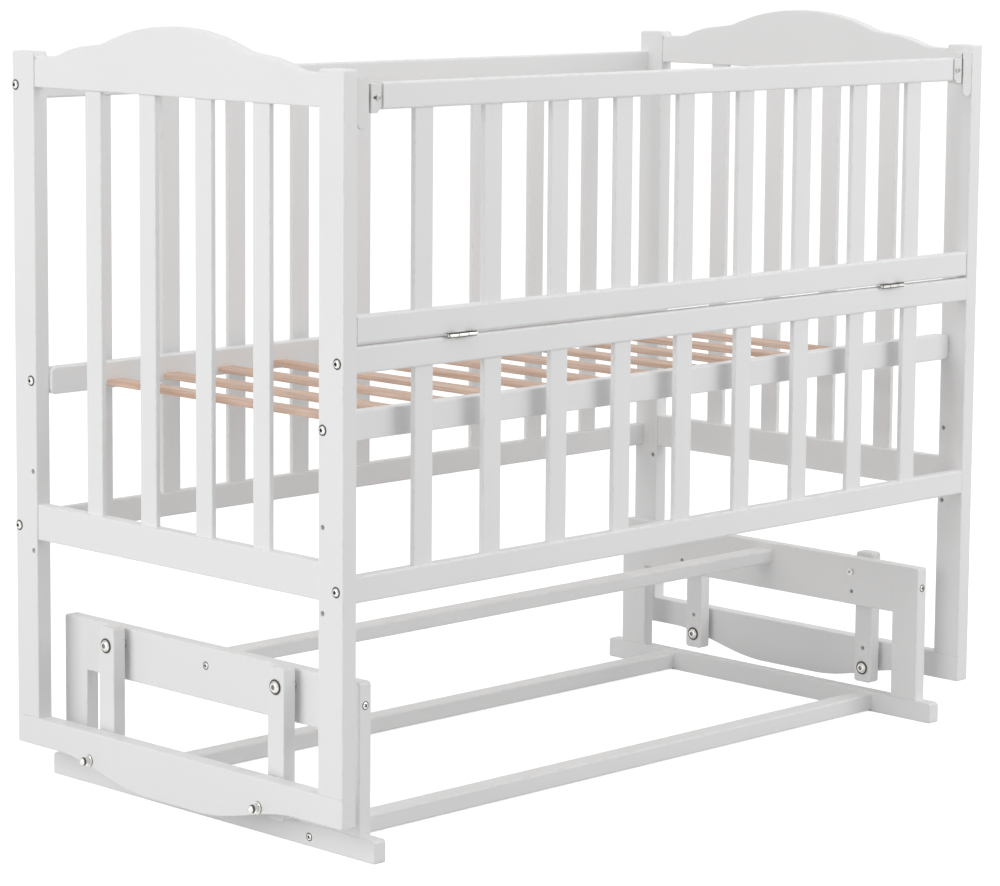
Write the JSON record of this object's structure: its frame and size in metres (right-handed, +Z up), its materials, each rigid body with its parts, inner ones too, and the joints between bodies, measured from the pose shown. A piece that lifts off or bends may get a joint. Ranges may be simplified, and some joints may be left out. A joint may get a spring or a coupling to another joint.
{
  "type": "crib",
  "caption": "White slatted wooden baby crib with a fold-down front gate, hung on swing arms in a low stand so that it swings from front to back.",
  "frame": {"origin": "on the floor, in the middle of the outline", "axes": "+X along the crib towards its right-hand end seen from the gate side, +Y from the gate side to the rear, +Z up"},
  "size_m": [1.274, 0.6542, 1.028],
  "materials": {
    "white_wood": "white enamel paint, satin",
    "bare_wood": "bare planed wood with long grain",
    "white_plastic": "moulded white plastic, semi-gloss",
    "nickel": "nickel plated, bright"
  },
  "bodies": {
    "stand": {"stand_foot_left": "white_wood", "stand_foot_right": "white_wood", "stand_upright_front_left": "white_wood", "stand_upright_rear_left": "white_wood", "stand_upright_front_right": "white_wood", "stand_upright_rear_right": "white_wood", "stand_board_left": "white_wood", "stand_board_right": "white_wood", "stand_rail_upper": "white_wood", "stand_rail_lower_front": "white_wood", "stand_rail_lower_rear": "white_wood", "pivot_bolt_upper_front_left": "nickel", "pivot_bolt_upper_rear_left": "nickel", "pivot_bolt_upper_front_right": "nickel", "pivot_bolt_upper_rear_right": "nickel"},
    "arm_front_left": {"swing_arm_front_left": "white_wood"},
    "arm_rear_left": {"swing_arm_rear_left": "white_wood"},
    "arm_front_right": {"swing_arm_front_right": "white_wood"},
    "arm_rear_right": {"swing_arm_rear_right": "white_wood"},
    "crib_body": {"post_front_left": "white_wood", "post_rear_left": "white_wood", "post_front_right": "white_wood", "post_rear_right": "white_wood", "rocker_beam_left": "white_wood", "rocker_beam_right": "white_wood", "arched_rail_left": "white_wood", "arched_rail_right": "white_wood", "end_panel_left": "white_wood", "end_panel_right": "white_wood", "rear_panel": "white_wood", "front_lower_panel": "white_wood", "bed_rail_front": "white_wood", "bed_rail_rear": "white_wood", "bed_slat_01": "bare_wood", "bed_slat_02": "bare_wood", "bed_slat_03": "bare_wood", "bed_slat_04": "bare_wood", "bed_slat_05": "bare_wood", "bed_slat_06": "bare_wood", "bed_slat_07": "bare_wood", "bed_slat_08": "bare_wood", "bed_slat_09": "bare_wood", "bed_slat_10": "bare_wood", "bed_slat_11": "bare_wood", "pivot_bolt_lower_front_left": "nickel", "pivot_bolt_lower_rear_left": "nickel", "pivot_bolt_lower_front_right": "nickel", "pivot_bolt_lower_rear_right": "nickel", "hinge_leaf_fixed_left": "nickel", "hinge_leaf_fixed_right": "nickel", "catch_striker_left": "white_plastic", "catch_striker_right": "white_plastic"},
    "gate": {"gate_top_rail": "white_wood", "gate_low_rail_and_slats": "white_wood", "hinge_leaf_gate_left": "nickel", "hinge_leaf_gate_right": "nickel", "catch_housing_left": "white_plastic", "catch_housing_right": "white_plastic"},
    "slide_bolt_left": {"catch_slide_left": "white_plastic"},
    "slide_bolt_right": {"catch_slide_right": "white_plastic"}
  },
  "joints": [
    {"name": "swing", "type": "hinge", "parent": "stand", "child": "arm_front_left", "pos_m": [-0.583, -0.16337, 0.205], "axis": [1, 0, 0], "range_deg": [-15, 15]},
    {"name": "swing_rear_left", "type": "hinge", "parent": "stand", "child": "arm_rear_left", "pos_m": [-0.583, 0.17463, 0.205], "axis": [1, 0, 0], "range_deg": [-15, 15]},
    {"name": "swing_front_right", "type": "hinge", "parent": "stand", "child": "arm_front_right", "pos_m": [0.583, -0.16337, 0.205], "axis": [1, 0, 0], "range_deg": [-15, 15]},
    {"name": "swing_rear_right", "type": "hinge", "parent": "stand", "child": "arm_rear_right", "pos_m": [0.583, 0.17463, 0.205], "axis": [1, 0, 0], "range_deg": [-15, 15]},
    {"name": "crib_on_arm", "type": "hinge", "parent": "arm_front_left", "child": "crib_body", "pos_m": [-0.583, -0.16337, 0.055], "axis": [1, 0, 0], "range_deg": [-15, 15]},
    {"name": "gate_fold", "type": "hinge", "parent": "crib_body", "child": "gate", "pos_m": [0, -0.32388, 0.653], "axis": [1, 0, 0], "range_deg": [0, 175]},
    {"name": "slide_bolt_left_travel", "type": "slide", "parent": "gate", "child": "slide_bolt_left", "axis": [-1, 0, 0], "range_m": [0, 0.006]},
    {"name": "slide_bolt_right_travel", "type": "slide", "parent": "gate", "child": "slide_bolt_right", "axis": [1, 0, 0], "range_m": [0, 0.006]}
  ],
  "couplings": [
    {"joint": "swing_rear_left", "follows": "swing", "ratio": 1},
    {"joint": "swing_front_right", "follows": "swing", "ratio": 1},
    {"joint": "swing_rear_right", "follows": "swing", "ratio": 1},
    {"joint": "crib_on_arm", "follows": "swing", "ratio": -1}
  ]
}
